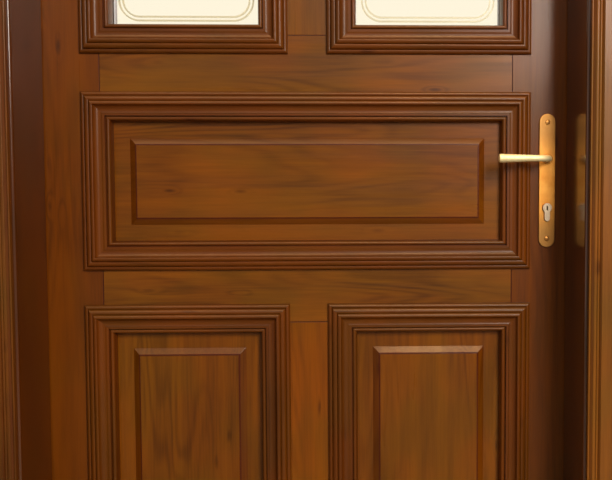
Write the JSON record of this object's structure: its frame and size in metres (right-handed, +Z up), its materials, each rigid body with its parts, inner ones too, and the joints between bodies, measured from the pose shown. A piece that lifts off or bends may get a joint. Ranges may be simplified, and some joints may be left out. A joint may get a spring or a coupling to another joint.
{
  "type": "panelled front door with frame",
  "caption": "Panelled and glazed timber front door hung in its frame, with lever handles, a mortice lock and lift-off hinges.",
  "frame": {"origin": "on the floor, in the middle of the doorway, in the plane of the leaf's outer face", "axes": "+Z up, +X to the right seen from outside, +Y from outside to inside"},
  "size_m": [1.162, 0.266, 2.157],
  "materials": {
    "leaf_wood": "dark stain, semi-gloss lacquer",
    "panel_wood": "dark stain, semi-gloss lacquer",
    "moulding_wood": "dark stain gathered in the quirks, semi-gloss lacquer",
    "frame_wood": "very dark stain, glossy lacquer",
    "casing_wood": "stain, semi-gloss lacquer",
    "threshold_wood": "dark stain, satin",
    "glass": "clear, with an etched line border",
    "handle_brass": "polished and lacquered",
    "hinge_brass": "satin",
    "cylinder_nickel": "nickel-plated, satin",
    "lock_steel": "zinc-plated",
    "seal_rubber": "matt"
  },
  "bodies": {
    "frame": {"jamb_left": "frame_wood", "jamb_right": "frame_wood", "frame_head": "frame_wood", "threshold": "threshold_wood", "frame_seal": "seal_rubber", "strike_plate": "hinge_brass", "hinge_pins": "hinge_brass", "hinge_frame_wing_bottom": "hinge_brass", "hinge_frame_wing_middle": "hinge_brass", "hinge_frame_wing_top": "hinge_brass", "casing_outer_left": "casing_wood", "casing_outer_right": "casing_wood", "casing_outer_head": "casing_wood", "casing_inner_left": "casing_wood", "casing_inner_right": "casing_wood", "casing_inner_head": "casing_wood"},
    "leaf": {"stile_left": "leaf_wood", "stile_right": "leaf_wood", "top_rail": "leaf_wood", "frieze_rail": "leaf_wood", "lock_rail": "leaf_wood", "bottom_rail": "leaf_wood", "muntin_upper": "leaf_wood", "muntin_lower": "leaf_wood", "panel_middle": "panel_wood", "panel_lower_left": "panel_wood", "panel_lower_right": "panel_wood", "glass_left": "glass", "glass_right": "glass", "moulding_outer_light_left": "moulding_wood", "moulding_outer_light_right": "moulding_wood", "moulding_outer_middle": "moulding_wood", "moulding_outer_lower_left": "moulding_wood", "moulding_outer_lower_right": "moulding_wood", "moulding_inner_light_left": "moulding_wood", "moulding_inner_light_right": "moulding_wood", "moulding_inner_middle": "moulding_wood", "moulding_inner_lower_left": "moulding_wood", "moulding_inner_lower_right": "moulding_wood", "hinge_leaf_wing_bottom": "hinge_brass", "hinge_leaf_wing_middle": "hinge_brass", "hinge_leaf_wing_top": "hinge_brass", "lock_case": "lock_steel", "lock_forend": "hinge_brass", "cylinder_body": "cylinder_nickel", "backplate_outer": "handle_brass", "backplate_inner": "handle_brass"},
    "handle": {"lever_outer": "handle_brass", "lever_inner": "handle_brass", "spindle": "lock_steel", "follower": "lock_steel"},
    "latch": {"latch_bolt": "lock_steel"},
    "deadbolt": {"dead_bolt": "lock_steel"},
    "key_plug": {"cylinder_plug": "cylinder_nickel"}
  },
  "joints": [
    {"name": "leaf_hinge", "type": "hinge", "parent": "frame", "child": "leaf", "pos_m": [-0.4895, 0.066, 1.044], "axis": [0, 0, 1], "range_deg": [0, 105]},
    {"name": "handle_turn", "type": "hinge", "parent": "leaf", "child": "handle", "pos_m": [0.441, 0.029, 1.05], "axis": [0, -1, 0], "range_deg": [0, 40], "stiffness_Nm_per_rad": 1.5, "springref_deg": -20.05},
    {"name": "latch_slide", "type": "slide", "parent": "leaf", "child": "latch", "axis": [-1, 0, 0], "range_m": [0, 0.012]},
    {"name": "key_turn", "type": "hinge", "parent": "leaf", "child": "key_plug", "pos_m": [0.441, 0.029, 0.96], "axis": [0, 1, 0], "range_deg": [0, 360]},
    {"name": "deadbolt_slide", "type": "slide", "parent": "leaf", "child": "deadbolt", "axis": [1, 0, 0], "range_m": [0, 0.02]}
  ],
  "couplings": [
    {"joint": "latch_slide", "follows": "handle_turn", "m_per_rad": 0.017189},
    {"joint": "key_turn", "follows": "deadbolt_slide", "rad_per_m": 314.16}
  ]
}
